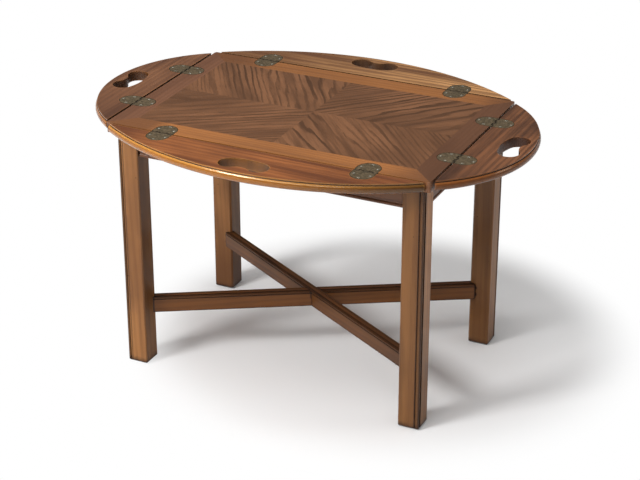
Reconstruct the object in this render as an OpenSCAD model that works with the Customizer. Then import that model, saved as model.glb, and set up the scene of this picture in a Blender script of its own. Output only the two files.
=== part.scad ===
// Butler tray table: a rectangular tray whose four hinged leaves open flat to an oval top
// and fold up to make the tray's sides. It lies on a low stand with four square legs,
// aprons bolted at the corners and a crossed stretcher.
// Millimetres, +Z up. X runs along the length of the top, and the front is at -Y.

/* [Tray panel] */
// Length of the rectangular panel, along X
panel_l = 620; // [600:2:650]
// Width of the rectangular panel, along Y
panel_w = 406; // [390:2:424]
// Thickness of the panel and of the leaves
board_t = 19; // [17:0.5:22]
// Height of the table top above the floor
top_h = 486; // [420:2:560]
// Radius of the panel's corners in plan
panel_corner_r = 4; // [2:0.5:7]
// Width of the crossband that borders the panel
band_w = 42; // [38:1:60]
// Thickness of the veneers on the panel
veneer_t = 0.8; // [0.6:0.1:1.2]

/* [Leaves] */
// Length of the open oval, along X, at the widest line of its rim
oval_l = 833; // [810:1:880]
// Width of the open oval, along Y, at the widest line of its rim
oval_w = 610; // [590:1:650]
// Gap between the panel and a leaf
joint_gap = 4.8; // [4.6:0.1:6]
// Distance from a panel corner at which a leaf's top edge runs out
runout = 10; // [9:0.5:14]
// Distance from a panel corner at which a leaf's tip is cut blunt
tip_clear = 8; // [7:0.5:9]
// Radius of the bead round the rim
rim_bead_r = 9; // [8:0.5:9.5]
// How far the top edge of a leaf stands inside the rim's widest line
rim_step = 3.2; // [2:0.2:5]
// Side of the square groove cut on edge between that step and the bead
rim_quirk = 1.6; // [1:0.1:2]

/* [Hand holes] */
// Distance from the rim's widest line in to the inner edge of a hand hole
hole_in = 59; // [54:1:64]
// Radius of a hand hole's long inner edge
hole_arc_r = 100; // [85:1:140]
// Radius of the two lobes at the ends
hole_lobe_r = 19.5; // [17:0.5:21]
// Distance of a lobe's centre from the middle of the hole
hole_lobe_x = 27.5; // [25:0.5:32]
// Depth of a hand hole at its waist
hole_waist = 34; // [31:0.5:36]

/* [Hinges] */
// Length of a hinge along its joint
hinge_l = 42; // [36:1:50]
// Reach of one plate from the pin line to its round end
plate_reach = 35; // [33:0.5:37]
// Thickness of a hinge plate
plate_t = 2.2; // [2:0.1:2.6]
// Clearance round a plate in its recess
plate_gap = 0.5; // [0.3:0.1:0.8]
// Radius of the knuckles
knuckle_r = 2.1; // [1.8:0.05:2.15]
// Radius of the hinge pins
pin_r = 1; // [0.8:0.05:1.2]
// Running clearance of a pin, on the radius
pin_fit = 0.05; // [0.03:0.01:0.08]
// Number of knuckles in a hinge
knuckles = 5; // [3:2:7]
// Gap between neighbouring knuckles
knuckle_gap = 0.2; // [0.15:0.05:0.4]
// Distance of the long joints' hinges from the panel's ends
hinge_from_end = 115; // [95:5:160]
// Distance of the end joints' hinges from the panel's long edges
hinge_from_side = 112; // [95:1:125]
// Distance of a plate's edge behind the edge of the wood
plate_back = 0.1; // [0:0.05:0.3]
// Distance of the two inner screws of a plate from its middle line
screw_x = 15; // [13:0.5:16]
// Distance of the two inner screws of a plate from the pin line
screw_y = 15.5; // [10:0.5:18]
// Distance of a plate's end screw from the pin line
screw_end_y = 30; // [26:0.5:31]

/* [Screws] */
// Radius of a hinge screw's head
screw_head_r = 3; // [2.5:0.1:3.5]
// Radius of a hinge screw's shank
screw_r = 1.5; // [1.2:0.1:1.8]
// Length of a hinge screw
screw_l = 12; // [10:0.5:15]
// Radius of a frame screw's head
frame_screw_head_r = 3.6; // [3:0.1:4]
// Radius of a frame screw's shank
frame_screw_r = 1.8; // [1.5:0.1:2.2]
// Length of the screws that hold the corner blocks
block_screw_l = 20; // [16:1:24]
// Length of the screws that hold the cleats under the tray
cleat_screw_l = 25; // [20:1:28]
// Width and depth of a screw's slot
slot_w = 0.7; // [0.5:0.1:1]
// Radius of a screw's blunt point
point_r = 0.2; // [0.1:0.05:0.3]

/* [Legs] */
// Side of a square leg
leg_s = 40; // [36:1:46]
// Distance from the panel's ends in to the legs
leg_inset_x = 14; // [8:1:24]
// Distance from the panel's long edges in to the legs
leg_inset_y = 12; // [6:1:20]
// Radius of the bead on the outer corner of a leg
leg_bead_r = 2.4; // [2.3:0.1:3.5]
// Width of the groove beside the bead
quirk_w = 3.8; // [1.4:0.2:5]
// Depth of the groove beside the bead
quirk_d = 2.2; // [1.2:0.1:2.2]
// Chamfer on a leg's inner corner
leg_chamfer = 3; // [2:0.5:5]
// Easing of a leg's two side corners
leg_ease = 1.8; // [0.6:0.2:2.6]
// Flat milled on the inner corner at the top, measured along each face
leg_flat = 7; // [6:0.5:10]
// Radius at which the milled flat runs out below the apron
flat_runout_r = 20; // [15:1:30]
// Bevel round a foot
foot_bevel = 3.5; // [2:0.5:5]

/* [Aprons] */
// Depth of the aprons, up and down
apron_h = 45; // [36:1:60]
// Thickness of the aprons
apron_t = 18; // [15:1:20]
// Distance of an apron's face behind the legs' faces
apron_setback = 4; // [2:0.5:6]
// Radius of the bead along an apron's lower edge
apron_bead_r = 3.6; // [2.4:0.1:4.5]
// Width of the groove above that bead
apron_quirk_w = 3.4; // [1.5:0.1:4.5]
// Depth of the groove above that bead
apron_quirk_d = 2; // [1:0.1:2.3]

/* [Corner blocks] */
// Length of a corner block along each apron
block_reach = 52; // [50:1:60]
// Height of a corner block
block_h = 30; // [26:1:33]
// Distance of a block's screws from the ends of its long face
block_screw_in = 14; // [11:1:18]
// Thickness of the wood under the head of a block's screw
block_screw_seat = 9; // [7:0.5:11]
// Clearance round the head of a block's screw
counterbore_gap = 0.4; // [0.3:0.1:0.8]
// Clearance between a corner block and its leg
block_gap = 1; // [0.5:0.1:2]
// Radius of a hanger bolt
bolt_r = 3; // [2.5:0.1:4]
// Clearance of the bolt in its block, on the radius
bolt_fit = 0.3; // [0.2:0.1:0.6]
// Length of the bolt in the leg
bolt_in_leg = 28; // [20:1:34]
// Length of thread that shows past the nut
bolt_past_nut = 3; // [1:0.5:6]
// Radius of the washers
washer_r = 8; // [7:0.5:9]
// Thickness of the washers
washer_t = 1.5; // [1:0.1:2]
// Width of a nut across its corners
nut_w = 11.5; // [10:0.5:13]
// Height of a nut
nut_h = 5; // [4:0.5:6]

/* [Stretcher] */
// Thickness of the stretcher's rails
rail_t = 18; // [15:1:22]
// Depth of the rails, up and down
rail_h = 31; // [26:1:36]
// Height of the rails' top edges above the floor
rail_top = 128; // [100:2:180]
// Radius of the beads along the rails' upper edges
rail_bead_r = 2; // [1.5:0.1:2.5]
// Width of the grooves beside those beads
rail_quirk_w = 1.2; // [0.8:0.1:1.6]
// Depth of the grooves beside those beads
rail_quirk_d = 1.2; // [0.8:0.1:1.4]
// Reach of a rail's square-cut end past its leg's inner corner
rail_lip = 8; // [6:0.5:14]
// Radius of the dowels
dowel_r = 4; // [3:0.5:5]
// Length of a dowel in the rail, and again in the leg
dowel_half = 16; // [12:1:20]
// Distance between the two dowels of a joint
dowel_pitch = 14; // [11:1:15]

/* [Cleats] */
// Length of the cleats under the tray
cleat_l = 210; // [160:5:220]
// Width of the cleats
cleat_w = 20; // [16:1:24]
// Depth of the cleats
cleat_h = 14; // [11:1:16]
// Distance of a cleat's outer screws from its ends
cleat_screw_in = 17; // [12:1:30]
// Clearance between a cleat and its end apron
cleat_gap = 1; // [0.5:0.1:2]

/* [Hidden] */

wood = "saddlebrown";
dark_wood = "sienna";
field_wood = "peru";
hidden_wood = "burlywood";
brass = "darkgoldenrod";
steel = "silver";

// Turns that face each side of the table, and its four quarters as signs of X and Y
back = 0;
left = 90;
front = 180;
right = 270;
front_left = [-1, -1];
front_right = [1, -1];
back_left = [-1, 1];
back_right = [1, 1];
quarters = [front_left, front_right, back_left, back_right];

// Half sizes, and heights above the floor
half_l = panel_l / 2;
half_w = panel_w / 2;
under_z = top_h - board_t;
through = 1;

// Places of the legs' outer and inner faces, and of the aprons' faces
leg_x = half_l - leg_inset_x;
leg_y = half_w - leg_inset_y;
leg_in_x = leg_x - leg_s;
leg_in_y = leg_y - leg_s;
apron_x = leg_x - apron_setback;
apron_y = leg_y - apron_setback;
apron_in_x = apron_x - apron_t;
apron_in_y = apron_y - apron_t;
apron_z = under_z - apron_h;

// A corner block lies between two lines on which x + y is constant
flat_sum = leg_in_x + leg_in_y + leg_flat;
block_out_sum = flat_sum - block_gap * sqrt(2);
block_in_sum = apron_in_x + apron_in_y - block_reach;
block_z = apron_z + (apron_h - block_h) / 2;
bolt_z = block_z + block_h / 2;
block_thick = (block_out_sum - block_in_sum) / sqrt(2);
bolt_l = bolt_in_leg + block_gap + block_thick + washer_t + nut_h + bolt_past_nut;
block_screw_at = block_reach - block_screw_in;
counterbore_r = frame_screw_head_r + counterbore_gap;

// The rails run from one leg's inner corner to the opposite one
rail_turn = atan2(leg_in_y, leg_in_x);
rail_half = norm([leg_in_x, leg_in_y]);
rail_z = rail_top - rail_h;

// Hinge sizes: the pin lies level with the underside of the plates
hinge_x = half_l - hinge_from_end;
hinge_y = half_w - hinge_from_side;
pin_down = plate_t;
plate_edge = joint_gap / 2 + plate_back;
plate_end_r = hinge_l / 2;
plate_bend_y = plate_reach - plate_end_r;
knuckle_pitch = hinge_l / knuckles;
bead_down = board_t - rim_bead_r;
cleat_screw_x = apron_in_x - cleat_gap - cleat_w / 2;
cleat_screw_pitch = cleat_l / 2 - cleat_screw_in;

// Hand holes: how much fuller the lobes are, and how far past a lobe's centre, in radii,
// the wedge between the long edge and the waist has its outer corner
lobe_fullness = 0.08;
past_lobe = 1.7;
big_fn = 360;

// Distance from the middle of the table to the centre of a leaf's arc, whose top edge
// goes through its peak and through a point on the leaf's inner edge
function arc_centre(peak, along, out) = (peak * peak - along * along - out * out) / (2 * (peak - out));

// Children drawn with the joint along X and outwards at +Y, from the middle of the top
module at_side(turn) {
    translate([0, 0, top_h]) rotate(turn) children();
}

// Children drawn about a hinge: X along the pin line, +Y outwards, Z = 0 at the top
module at_hinge(turn, half, along) {
    at_side(turn) translate([along, half + joint_gap / 2, 0]) children();
}

// Children drawn in the quarter at +X +Y, put in the quarter with these signs
module in_quarter(q) {
    flip_x = q[0] < 0 ? [1, 0, 0] : [0, 0, 0];
    flip_y = q[1] < 0 ? [0, 1, 0] : [0, 0, 0];
    mirror(flip_x) mirror(flip_y) children();
}

// A countersunk wood screw with a slotted head, its head at Z = 0 and its point down
module wood_screw(head_r, r, l) {
    head_h = head_r - r;
    point_l = 2 * r;
    difference() {
        union() {
            translate([0, 0, -head_h]) cylinder(h = head_h, r1 = r, r2 = head_r, $fn = 32);
            translate([0, 0, point_l - l]) cylinder(h = l - point_l - head_h, r = r, $fn = 32);
            translate([0, 0, -l]) cylinder(h = point_l, r1 = point_r, r2 = r, $fn = 32);
        }
        translate([-head_r - through, -slot_w / 2, -slot_w])
            cube([2 * (head_r + through), slot_w, slot_w + through]);
    }
}

// The hole that a countersunk screw's head and shank need in the piece it holds
module screw_seat(head_r, r, depth) {
    head_h = head_r - r;
    translate([0, 0, -head_h]) cylinder(h = head_h, r1 = r, r2 = head_r, $fn = 32);
    translate([0, 0, -depth - through]) cylinder(h = depth + through - head_h / 2, r = r, $fn = 32);
    cylinder(h = through, r = head_r, $fn = 32);
}

// The pilot hole that a screw cuts in the wood under it
module pilot(r, l) {
    translate([0, 0, -l]) cylinder(h = l + through, r = r, $fn = 32);
}

// What a corner bead with a groove on each side cuts from a section that has this corner
// at its origin and lies at -X -Y
module bead_cut(r, w, d) {
    reach = 2 * r + w;
    translate([-reach, -d]) square([reach + through, d + through]);
    translate([-d, -reach]) square([d + through, reach + through]);
}

module corner_bead(r) {
    translate([-r, -r]) circle(r, $fn = 40);
}

// Legs

module leg_plan() {
    difference() {
        translate([-leg_s, -leg_s]) square(leg_s);
        bead_cut(leg_bead_r, quirk_w, quirk_d);
        translate([-leg_s, -leg_s]) rotate(45) square(leg_chamfer * sqrt(2), center = true);
        translate([-leg_s, 0]) rotate(45) square(leg_ease * sqrt(2), center = true);
        translate([0, -leg_s]) rotate(45) square(leg_ease * sqrt(2), center = true);
    }
    corner_bead(leg_bead_r);
}

// The bevel round the foot, as four long bars turned onto their edges
module foot_cut() {
    bar = foot_bevel * sqrt(2);
    for (side = [0, 1]) {
        for (turn = [0, 90]) {
            translate([-leg_s / 2, -leg_s / 2, 0]) rotate(turn)
                translate([(side - 0.5) * leg_s, 0, 0]) rotate([0, 45, 0])
                    cube([bar, 2 * leg_s, bar], center = true);
        }
    }
}

// The flat for the hanger bolt on the inner corner, with its round run-out below
module flat_cut() {
    depth = leg_flat / sqrt(2);
    translate([-leg_s, -leg_s, apron_z]) rotate(45) {
        translate([-leg_s, -leg_s / 2, 0]) cube([leg_s + depth, leg_s, apron_h + through]);
        translate([depth - flat_runout_r, 0, 0]) rotate([90, 0, 0])
            cylinder(h = leg_s, r = flat_runout_r, center = true, $fn = 96);
    }
}

module leg(q) {
    color(wood) difference() {
        in_quarter(q) translate([leg_x, leg_y, 0]) difference() {
            linear_extrude(under_z) leg_plan();
            foot_cut();
            flat_cut();
        }
        bolt_hole(q, bolt_r);
        dowels(q);
    }
}

module leg_front_left() { leg(front_left); }
module leg_front_right() { leg(front_right); }
module leg_back_left() { leg(back_left); }
module leg_back_right() { leg(back_right); }

// Aprons

// Section of an apron with its outer face at X = 0 and its lower edge at Y = 0
module apron_section() {
    difference() {
        translate([-apron_t, 0]) square([apron_t, apron_h]);
        translate([-apron_bead_r, -through]) square([apron_bead_r + through, apron_bead_r + through]);
        translate([-apron_quirk_d, apron_bead_r])
            square([apron_quirk_d + through, apron_bead_r + apron_quirk_w]);
    }
    translate([-apron_bead_r, apron_bead_r]) circle(apron_bead_r, $fn = 40);
}

// An apron between two legs' inner faces, at a distance out from the middle
module apron(turn, out, half) {
    color(wood) difference() {
        translate([0, 0, apron_z]) rotate(turn + 90) translate([out, 0, 0]) rotate([90, 0, 0])
            linear_extrude(2 * half, center = true) apron_section();
        for (q = quarters) block_screw_pair(q) pilot(frame_screw_r, block_screw_l);
    }
}

module apron_front() { apron(front, apron_y, leg_in_x); }
module apron_back() { apron(back, apron_y, leg_in_x); }
module apron_left() { apron(left, apron_x, leg_in_y); }
module apron_right() { apron(right, apron_x, leg_in_y); }

// Corner blocks with their bolts and screws

// The plan of a block in the quarter at +X +Y
module block_plan() {
    gap_x = leg_in_x - block_gap;
    gap_y = leg_in_y - block_gap;
    polygon([
        [apron_in_x - block_reach, apron_in_y],
        [gap_x, apron_in_y],
        [gap_x, block_out_sum - gap_x],
        [block_out_sum - gap_y, gap_y],
        [apron_in_x, gap_y],
        [apron_in_x, apron_in_y - block_reach]
    ]);
}

// Children drawn along +X from the leg's flat towards the leg, at the height of the bolts
module at_bolt(q) {
    across = leg_in_x - leg_in_y;
    in_quarter(q) translate([(flat_sum + across) / 2, (flat_sum - across) / 2, bolt_z])
        rotate(45) children();
}

module bolt_hole(q, r) {
    at_bolt(q) rotate([0, 90, 0])
        translate([0, 0, bolt_in_leg - bolt_l]) cylinder(h = bolt_l, r = r, $fn = 40);
}

// Children drawn head up at the two screws of a block, one into each apron
module block_screw_pair(q) {
    in_quarter(q) {
        translate([apron_in_x - block_screw_at, apron_in_y - block_screw_seat, bolt_z])
            rotate([90, 0, 0]) children();
        translate([apron_in_x - block_screw_seat, apron_in_y - block_screw_at, bolt_z])
            rotate([0, -90, 0]) children();
    }
}

module corner_block(q) {
    color(hidden_wood) difference() {
        translate([0, 0, block_z]) in_quarter(q) linear_extrude(block_h) block_plan();
        bolt_hole(q, bolt_r + bolt_fit);
        block_screw_pair(q) {
            union() {
                screw_seat(frame_screw_head_r, frame_screw_r, block_screw_seat);
                cylinder(h = block_reach, r = counterbore_r, $fn = 32);
            }
        }
    }
}

module corner_block_front_left() { corner_block(front_left); }
module corner_block_front_right() { corner_block(front_right); }
module corner_block_back_left() { corner_block(back_left); }
module corner_block_back_right() { corner_block(back_right); }

module hanger_bolts() {
    color(steel) for (q = quarters) bolt_hole(q, bolt_r);
}

module hanger_washers() {
    color(steel) for (q = quarters) at_bolt(q) rotate([0, -90, 0])
        translate([0, 0, block_gap + block_thick]) difference() {
            cylinder(h = washer_t, r = washer_r, $fn = 48);
            translate([0, 0, -through]) cylinder(h = washer_t + 2 * through, r = bolt_r + bolt_fit, $fn = 40);
        }
}

module hanger_nuts() {
    color(steel) for (q = quarters) at_bolt(q) rotate([0, -90, 0])
        translate([0, 0, block_gap + block_thick + washer_t]) difference() {
            cylinder(h = nut_h, d = nut_w, $fn = 6);
            translate([0, 0, -through]) cylinder(h = nut_h + 2 * through, r = bolt_r, $fn = 40);
        }
}

module block_screws() {
    color(steel) for (q = quarters) block_screw_pair(q)
        wood_screw(frame_screw_head_r, frame_screw_r, block_screw_l);
}

// Stretcher

// Children drawn with a corner at the origin, at both upper corners of a rail's section
module at_rail_corners() {
    translate([rail_t / 2, rail_h]) children();
    translate([-rail_t / 2, rail_h]) rotate(90) children();
}

module rail_section() {
    difference() {
        translate([-rail_t / 2, 0]) square([rail_t, rail_h]);
        at_rail_corners() bead_cut(rail_bead_r, rail_quirk_w, rail_quirk_d);
    }
    at_rail_corners() corner_bead(rail_bead_r);
}

// Two dowels at one end of a rail, along the rail and into the leg
module dowels(q) {
    turn = atan2(q[1] * leg_in_y, q[0] * leg_in_x);
    for (up = [-0.5, 0.5]) {
        translate([0, 0, rail_z + rail_h / 2 + up * dowel_pitch]) rotate(turn) rotate([0, 90, 0])
            translate([0, 0, rail_half - dowel_half]) cylinder(h = 2 * dowel_half, r = dowel_r, $fn = 40);
    }
}

// A whole rail from leg to leg, its ends notched over the legs' inner corners
module rail(turn, ends) {
    reach = rail_half + rail_lip;
    difference() {
        translate([0, 0, rail_z]) rotate(turn + 90) rotate([90, 0, 0])
            linear_extrude(2 * reach, center = true) rail_section();
        for (q = ends) {
            in_quarter(q) translate([leg_x, leg_y, rail_z - through])
                linear_extrude(rail_h + 2 * through) leg_plan();
            dowels(q);
        }
    }
}

// The half that one rail gives up where the other crosses it
module lap_cut(turn, z) {
    rotate(turn) translate([-rail_half / 2, -rail_t / 2, z]) cube([rail_half, rail_t, rail_h / 2 + through]);
}

module stretcher_lower() {
    color(wood) difference() {
        rail(rail_turn, [front_left, back_right]);
        lap_cut(-rail_turn, rail_z + rail_h / 2);
    }
}

module stretcher_upper() {
    color(wood) difference() {
        rail(-rail_turn, [back_left, front_right]);
        lap_cut(rail_turn, rail_z - through);
    }
}

module stretcher_dowels() {
    color(hidden_wood) for (q = quarters) dowels(q);
}

// Tray panel with its veneers and cleats

module panel_plan() {
    run_x = half_l - panel_corner_r;
    run_y = half_w - panel_corner_r;
    translate([-half_l, -run_y]) square([panel_l, 2 * run_y]);
    translate([-run_x, -half_w]) square([2 * run_x, panel_w]);
    for (x = [-run_x, run_x]) {
        for (y = [-run_y, run_y]) translate([x, y]) circle(panel_corner_r, $fn = 40);
    }
}

// Children drawn on the panel's side of a hinge, at all eight hinges
module at_panel_plates() {
    for (along = [-hinge_x, hinge_x]) {
        at_hinge(front, half_w, along) rotate(180) children();
        at_hinge(back, half_w, along) rotate(180) children();
    }
    for (along = [-hinge_y, hinge_y]) {
        at_hinge(left, half_l, along) rotate(180) children();
        at_hinge(right, half_l, along) rotate(180) children();
    }
}

module cleat_screw_places() {
    for (x = [-cleat_screw_x, cleat_screw_x]) {
        for (y = [-cleat_screw_pitch, 0, cleat_screw_pitch]) {
            translate([x, y, under_z - cleat_h]) rotate([180, 0, 0]) children();
        }
    }
}

module panel_core() {
    color(hidden_wood) difference() {
        translate([0, 0, under_z]) linear_extrude(board_t - veneer_t) panel_plan();
        at_panel_plates() {
            union() {
                plate_recess();
                screw_places() pilot(screw_r, screw_l);
            }
        }
        cleat_screw_places() pilot(frame_screw_r, cleat_screw_l);
    }
}

// A border strip between two mitres, on the side that its turn faces
module crossband(turn, out, half) {
    color(dark_wood) difference() {
        translate([0, 0, top_h - veneer_t]) linear_extrude(veneer_t) intersection() {
            panel_plan();
            rotate(turn) polygon([[-half, out], [half, out], [half - band_w, out - band_w],
                [band_w - half, out - band_w]]);
        }
        at_panel_plates() plate_recess();
    }
}

module crossband_front() { crossband(front, half_w, half_l); }
module crossband_back() { crossband(back, half_w, half_l); }
module crossband_left() { crossband(left, half_l, half_w); }
module crossband_right() { crossband(right, half_l, half_w); }

module field_veneer(q) {
    color(field_wood) in_quarter(q) translate([0, 0, top_h - veneer_t])
        cube([half_l - band_w, half_w - band_w, veneer_t]);
}

module field_veneer_front_left() { field_veneer(front_left); }
module field_veneer_front_right() { field_veneer(front_right); }
module field_veneer_back_left() { field_veneer(back_left); }
module field_veneer_back_right() { field_veneer(back_right); }

module cleat(side) {
    color(hidden_wood) difference() {
        translate([side * cleat_screw_x - cleat_w / 2, -cleat_l / 2, under_z - cleat_h])
            cube([cleat_w, cleat_l, cleat_h]);
        cleat_screw_places() screw_seat(frame_screw_head_r, frame_screw_r, cleat_h);
    }
}

module cleat_left() { cleat(-1); }
module cleat_right() { cleat(1); }

module cleat_screws() {
    color(steel) cleat_screw_places() wood_screw(frame_screw_head_r, frame_screw_r, cleat_screw_l);
}

// Hinges

// A plate's outline with its round end, grown by a clearance, X along the pin line
module plate_outline(from_y, grow) {
    translate([-plate_end_r - grow, from_y]) square([hinge_l + 2 * grow, plate_bend_y - from_y]);
    intersection() {
        translate([0, plate_bend_y]) circle(plate_end_r + grow, $fn = 96);
        translate([-hinge_l, plate_bend_y]) square([2 * hinge_l, hinge_l]);
    }
}

// The recess for a plate in the wood, open at the joint
module plate_recess() {
    translate([0, 0, -plate_t]) linear_extrude(plate_t + through) plate_outline(0, plate_gap);
}

// Children drawn head up at the three screws of a plate
module screw_places() {
    translate([-screw_x, screw_y, 0]) children();
    translate([screw_x, screw_y, 0]) children();
    translate([0, screw_end_y, 0]) rotate(90) children();
}

// A knuckle with the web that joins it to its plate
module knuckle(i) {
    l = knuckle_pitch - knuckle_gap;
    translate([(i + 0.5) * knuckle_pitch - hinge_l / 2 - l / 2, 0, -pin_down]) {
        rotate([0, 90, 0]) cylinder(h = l, r = knuckle_r, $fn = 48);
        cube([l, plate_edge + through, knuckle_r]);
    }
}

module pin(r) {
    translate([-hinge_l / 2, 0, -pin_down]) rotate([0, 90, 0]) cylinder(h = hinge_l, r = r, $fn = 32);
}

// A hinge plate with every second knuckle, starting from the first or the second
module hinge_plate(first) {
    color(brass) difference() {
        union() {
            translate([0, 0, -plate_t]) linear_extrude(plate_t) plate_outline(plate_edge, 0);
            for (i = [first : 2 : knuckles - 1]) knuckle(i);
        }
        translate([-through, 0, 0]) pin(pin_r + pin_fit);
        translate([through, 0, 0]) pin(pin_r + pin_fit);
        screw_places() screw_seat(screw_head_r, screw_r, plate_t);
    }
}

module panel_plate(turn, half, along) {
    at_hinge(turn, half, along) rotate(180) hinge_plate(0);
}

// Along a side, X runs to the left on the front, to the right on the back, towards the back
// on the left and towards the front on the right
module panel_plate_front_left() { panel_plate(front, half_w, hinge_x); }
module panel_plate_front_right() { panel_plate(front, half_w, -hinge_x); }
module panel_plate_back_left() { panel_plate(back, half_w, -hinge_x); }
module panel_plate_back_right() { panel_plate(back, half_w, hinge_x); }
module panel_plate_left_front() { panel_plate(left, half_l, -hinge_y); }
module panel_plate_left_back() { panel_plate(left, half_l, hinge_y); }
module panel_plate_right_front() { panel_plate(right, half_l, hinge_y); }
module panel_plate_right_back() { panel_plate(right, half_l, -hinge_y); }

module hinge_pins() {
    color(steel) at_panel_plates() pin(pin_r);
}

module panel_plate_screws() {
    color(brass) at_panel_plates() screw_places() wood_screw(screw_head_r, screw_r, screw_l);
}

// Leaves

// Half the section of a round top: square edge above, bead below and a groove between
module rim_profile(r) {
    step_out = rim_bead_r - rim_step;
    step_z = sqrt(rim_bead_r * rim_bead_r - step_out * step_out) - bead_down;
    difference() {
        union() {
            translate([0, -board_t]) square([r - rim_bead_r, board_t]);
            translate([0, -bead_down]) square([r - rim_step, bead_down]);
            translate([r - rim_bead_r, -bead_down]) circle(rim_bead_r, $fn = 64);
        }
        translate([r - rim_step, step_z]) rotate(45) square(rim_quirk, center = true);
    }
}

// A kidney-shaped hand hole: its long edge at Y = 0, two lobes and a waist beyond. The lobes
// are a touch fuller than circles that just touch the two arcs, so the outlines cross.
module hand_hole_plan() {
    touch_r = hole_lobe_r - lobe_fullness;
    lobe_y = hole_arc_r - sqrt(pow(hole_arc_r - touch_r, 2) - pow(hole_lobe_x, 2));
    rise = hole_waist - lobe_y;
    waist_r = (pow(hole_lobe_x, 2) + rise * rise - touch_r * touch_r) / (2 * (touch_r - rise));
    waist_y = hole_waist + waist_r;
    to_waist = (hole_lobe_r + lobe_fullness) / (touch_r + waist_r);
    meet = [hole_lobe_x * (1 - to_waist), lobe_y + (waist_y - lobe_y) * to_waist];
    spread = past_lobe * hole_lobe_r / (hole_arc_r - hole_lobe_r);
    foot = [hole_lobe_x * (1 + spread), lobe_y - (hole_arc_r - lobe_y) * spread];
    for (side = [-1, 1]) translate([side * hole_lobe_x, lobe_y]) circle(hole_lobe_r, $fn = 96);
    difference() {
        intersection() {
            translate([0, hole_arc_r]) circle(hole_arc_r, $fn = big_fn);
            polygon([[hole_lobe_x, lobe_y], foot, [-foot[0], foot[1]], [-hole_lobe_x, lobe_y],
                [-meet[0], meet[1]], meet]);
        }
        translate([0, waist_y]) circle(waist_r, $fn = 96);
    }
}

// A leaf on one side: half is the panel's half size across the joint, run along it,
// reach the rim's distance from the middle, and hinge_at the hinges' distance along
module leaf(turn, half, run, reach, hinge_at) {
    edge = half + joint_gap;
    centre = arc_centre(reach - rim_step, run - runout, edge);
    tip = run - tip_clear;
    color(wood) at_side(turn) difference() {
        intersection() {
            translate([0, centre, 0]) rotate_extrude($fn = big_fn) rim_profile(reach - centre);
            translate([-tip, edge, -board_t]) cube([2 * tip, reach, board_t]);
        }
        for (along = [-hinge_at, hinge_at]) {
            translate([along, half + joint_gap / 2, 0]) {
                plate_recess();
                screw_places() pilot(screw_r, screw_l);
            }
        }
        translate([0, reach - hole_in, -board_t - through])
            linear_extrude(board_t + 2 * through) hand_hole_plan();
    }
}

module leaf_plate(turn, half, along) {
    at_hinge(turn, half, along) hinge_plate(1);
}

module leaf_screws(turn, half, hinge_at) {
    color(brass) for (along = [-hinge_at, hinge_at])
        at_hinge(turn, half, along) screw_places() wood_screw(screw_head_r, screw_r, screw_l);
}

module leaf_front() { leaf(front, half_w, half_l, oval_w / 2, hinge_x); }
module leaf_back() { leaf(back, half_w, half_l, oval_w / 2, hinge_x); }
module leaf_left() { leaf(left, half_l, half_w, oval_l / 2, hinge_y); }
module leaf_right() { leaf(right, half_l, half_w, oval_l / 2, hinge_y); }

module leaf_plate_front_left() { leaf_plate(front, half_w, hinge_x); }
module leaf_plate_front_right() { leaf_plate(front, half_w, -hinge_x); }
module leaf_plate_back_left() { leaf_plate(back, half_w, -hinge_x); }
module leaf_plate_back_right() { leaf_plate(back, half_w, hinge_x); }
module leaf_plate_left_front() { leaf_plate(left, half_l, -hinge_y); }
module leaf_plate_left_back() { leaf_plate(left, half_l, hinge_y); }
module leaf_plate_right_front() { leaf_plate(right, half_l, hinge_y); }
module leaf_plate_right_back() { leaf_plate(right, half_l, -hinge_y); }

module leaf_screws_front() { leaf_screws(front, half_w, hinge_x); }
module leaf_screws_back() { leaf_screws(back, half_w, hinge_x); }
module leaf_screws_left() { leaf_screws(left, half_l, hinge_y); }
module leaf_screws_right() { leaf_screws(right, half_l, hinge_y); }

leg_front_left();
leg_front_right();
leg_back_left();
leg_back_right();
apron_front();
apron_back();
apron_left();
apron_right();
corner_block_front_left();
corner_block_front_right();
corner_block_back_left();
corner_block_back_right();
stretcher_lower();
stretcher_upper();
stretcher_dowels();
hanger_bolts();
hanger_washers();
hanger_nuts();
block_screws();
panel_core();
crossband_front();
crossband_back();
crossband_left();
crossband_right();
field_veneer_front_left();
field_veneer_front_right();
field_veneer_back_left();
field_veneer_back_right();
panel_plate_front_left();
panel_plate_front_right();
panel_plate_back_left();
panel_plate_back_right();
panel_plate_left_front();
panel_plate_left_back();
panel_plate_right_front();
panel_plate_right_back();
hinge_pins();
panel_plate_screws();
cleat_left();
cleat_right();
cleat_screws();
leaf_front();
leaf_plate_front_left();
leaf_plate_front_right();
leaf_screws_front();
leaf_back();
leaf_plate_back_left();
leaf_plate_back_right();
leaf_screws_back();
leaf_left();
leaf_plate_left_front();
leaf_plate_left_back();
leaf_screws_left();
leaf_right();
leaf_plate_right_front();
leaf_plate_right_back();
leaf_screws_right();
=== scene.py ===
"""Butler tray table: finishes, eased edges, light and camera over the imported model.

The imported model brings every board, hinge and screw at its real size and place. This
script eases the sharp arrises, gives each board a stained wood with a grain of its own
and the hinges an aged brass, and stands the table on a pale floor in soft light.
"""

import logging
import math
from dataclasses import dataclass, field
from enum import Enum
from typing import Any, Sequence

import bmesh
import bpy
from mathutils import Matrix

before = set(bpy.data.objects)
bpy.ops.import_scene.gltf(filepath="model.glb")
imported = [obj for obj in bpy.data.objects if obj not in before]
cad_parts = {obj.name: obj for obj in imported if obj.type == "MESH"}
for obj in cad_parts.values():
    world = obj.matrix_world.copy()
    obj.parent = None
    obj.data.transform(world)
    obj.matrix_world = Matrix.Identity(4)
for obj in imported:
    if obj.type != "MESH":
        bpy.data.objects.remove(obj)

LOG = logging.getLogger("tray_table")

Colour = tuple[float, float, float]
Vector3 = tuple[float, float, float]
Span = tuple[float, float]
Socket = bpy.types.NodeSocket
Material = bpy.types.Material

MM = 0.001

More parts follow.
